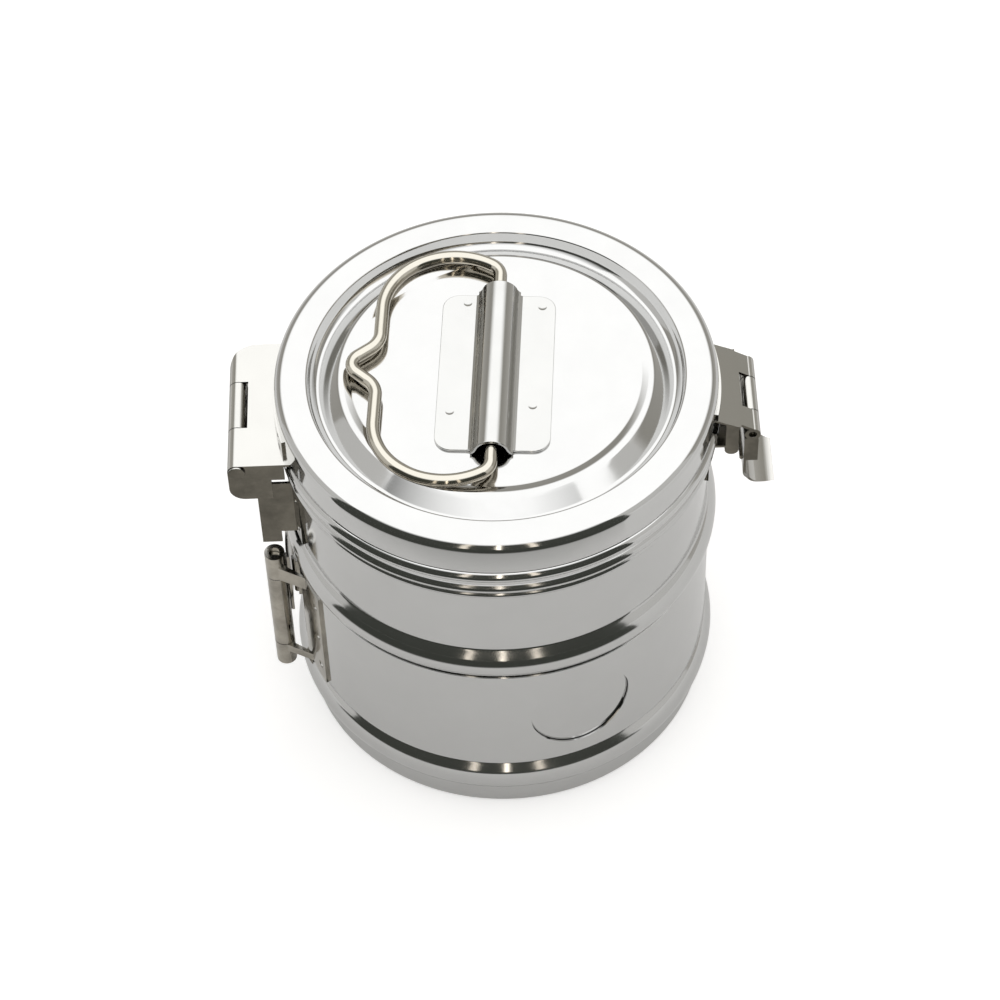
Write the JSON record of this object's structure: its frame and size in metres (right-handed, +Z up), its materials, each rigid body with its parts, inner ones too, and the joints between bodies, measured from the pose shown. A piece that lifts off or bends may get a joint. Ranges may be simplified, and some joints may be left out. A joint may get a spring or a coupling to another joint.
{
  "type": "sterilization drum",
  "caption": "Round polished steel drum with hinged lid, side latch, folding wire handle and a turning vent band closed by a lever clasp.",
  "frame": {"origin": "centre of the base on the floor plane", "axes": "+Z up along the drum axis, -X to the lid hinge, +X to the latch, -Y to the front with the band's window"},
  "size_m": [0.1929, 0.158, 0.1645],
  "materials": {
    "drum_steel": "mirror-polished stainless steel",
    "band_steel": "mirror-polished stainless steel",
    "lid_steel": "mirror-polished stainless steel",
    "saddle_steel": "polished stainless steel sheet",
    "fitting_steel": "polished stainless steel sheet",
    "wire_steel": "bright drawn stainless wire",
    "pin_steel": "bright drawn pin",
    "weld_steel": "spot weld"
  },
  "bodies": {
    "drum": {"drum_shell": "drum_steel", "hinge_body_bracket": "fitting_steel", "hinge_body_welds": "weld_steel", "latch_keeper": "fitting_steel", "keeper_welds": "weld_steel"},
    "lid": {"lid_shell": "lid_steel", "handle_saddle": "saddle_steel", "saddle_welds": "weld_steel", "hinge_lid_leaf": "fitting_steel", "hinge_lid_welds": "weld_steel", "hinge_pin": "pin_steel", "latch_bracket": "fitting_steel", "latch_bracket_welds": "weld_steel", "latch_pin": "pin_steel"},
    "handle": {"handle_wire": "wire_steel"},
    "lever": {"latch_lever": "fitting_steel"},
    "band": {"vent_band": "band_steel", "clasp_leaf": "fitting_steel", "clasp_catch": "fitting_steel", "clasp_welds": "weld_steel", "clasp_pin": "pin_steel"},
    "clasp": {"clasp_lever": "fitting_steel"}
  },
  "joints": [
    {"name": "lid_swing", "type": "hinge", "parent": "drum", "child": "lid", "pos_m": [-0.0912, 0, 0.14195], "axis": [0, -1, 0], "range_deg": [0, 105]},
    {"name": "handle_swing", "type": "hinge", "parent": "lid", "child": "handle", "pos_m": [0, 0, 0.1607], "axis": [0.0698, 0.9976, 0], "range_deg": [0, 180]},
    {"name": "latch_swing", "type": "hinge", "parent": "lid", "child": "lever", "pos_m": [0.089, 0, 0.139], "axis": [0, -1, 0], "range_deg": [0, 100]},
    {"name": "band_turn", "type": "hinge", "parent": "drum", "child": "band", "pos_m": [0, 0, 0], "axis": [0, 0, 1], "range_deg": [0, 32]},
    {"name": "clasp_swing", "type": "hinge", "parent": "band", "child": "clasp", "pos_m": [-0.08263, -0.01862, 0.052], "axis": [0, 0, 1], "range_deg": [0, 110]}
  ]
}
